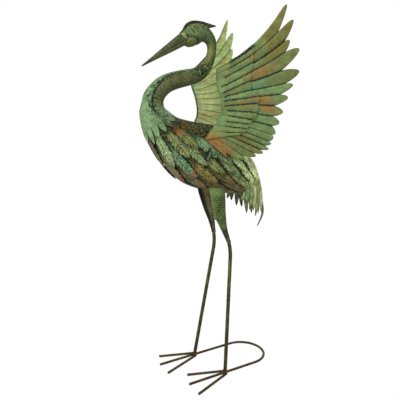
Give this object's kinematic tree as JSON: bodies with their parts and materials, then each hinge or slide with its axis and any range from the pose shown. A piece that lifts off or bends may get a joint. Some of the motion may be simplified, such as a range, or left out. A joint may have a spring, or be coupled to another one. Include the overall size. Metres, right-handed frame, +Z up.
{
  "type": "metal garden heron statue",
  "caption": "Standing garden heron of patinated sheet metal with raised wings, a curved neck and wire feet joined by a rear loop.",
  "frame": {"origin": "centre of the bounding box's bottom face, on the ground", "axes": "+Z up; the bird looks along -X, its left side is -Y and its tail points along +X"},
  "size_m": [0.4368, 0.2946, 1.1017],
  "materials": {
    "verdigris_sheet": "hammered sheet steel with a green verdigris patina, satin",
    "leaf_sheet": "embossed sheet leaves, patina in green, olive and rust",
    "dark_back": "dark olive patina with an engraved texture",
    "olive_sheet": "olive patina, satin",
    "brown_rod": "olive-brown patina on round bar",
    "black_brown": "near-black brown patina, satin"
  },
  "bodies": {
    "root": {"neck_and_head": "verdigris_sheet", "left_flight_feathers": "verdigris_sheet", "right_flight_feathers": "verdigris_sheet", "left_coverts": "verdigris_sheet", "right_coverts": "verdigris_sheet", "left_thigh": "verdigris_sheet", "right_thigh": "verdigris_sheet", "leaf_row_1": "leaf_sheet", "leaf_row_2": "leaf_sheet", "leaf_row_3": "leaf_sheet", "leaf_row_4": "leaf_sheet", "leaf_row_5": "leaf_sheet", "leaf_row_6": "leaf_sheet", "trunk": "dark_back", "beak": "olive_sheet", "left_tail_strip_1": "olive_sheet", "left_tail_strip_2": "olive_sheet", "left_tail_strip_3": "olive_sheet", "left_tail_strip_4": "olive_sheet", "left_tail_strip_5": "olive_sheet", "right_tail_strip_1": "olive_sheet", "right_tail_strip_2": "olive_sheet", "right_tail_strip_3": "olive_sheet", "right_tail_strip_4": "olive_sheet", "right_tail_strip_5": "olive_sheet", "left_wing_sleeve": "olive_sheet", "right_wing_sleeve": "olive_sheet", "left_leg": "brown_rod", "right_leg": "brown_rod", "thigh_tie": "brown_rod", "crest": "black_brown", "rear_loop": "black_brown", "tail_curl": "black_brown", "left_middle_toe": "black_brown", "left_outer_toe": "black_brown", "left_inner_toe": "black_brown", "right_middle_toe": "black_brown", "right_outer_toe": "black_brown", "right_inner_toe": "black_brown", "left_wing_tab": "black_brown", "right_wing_tab": "black_brown"}
  },
  "joints": []
}
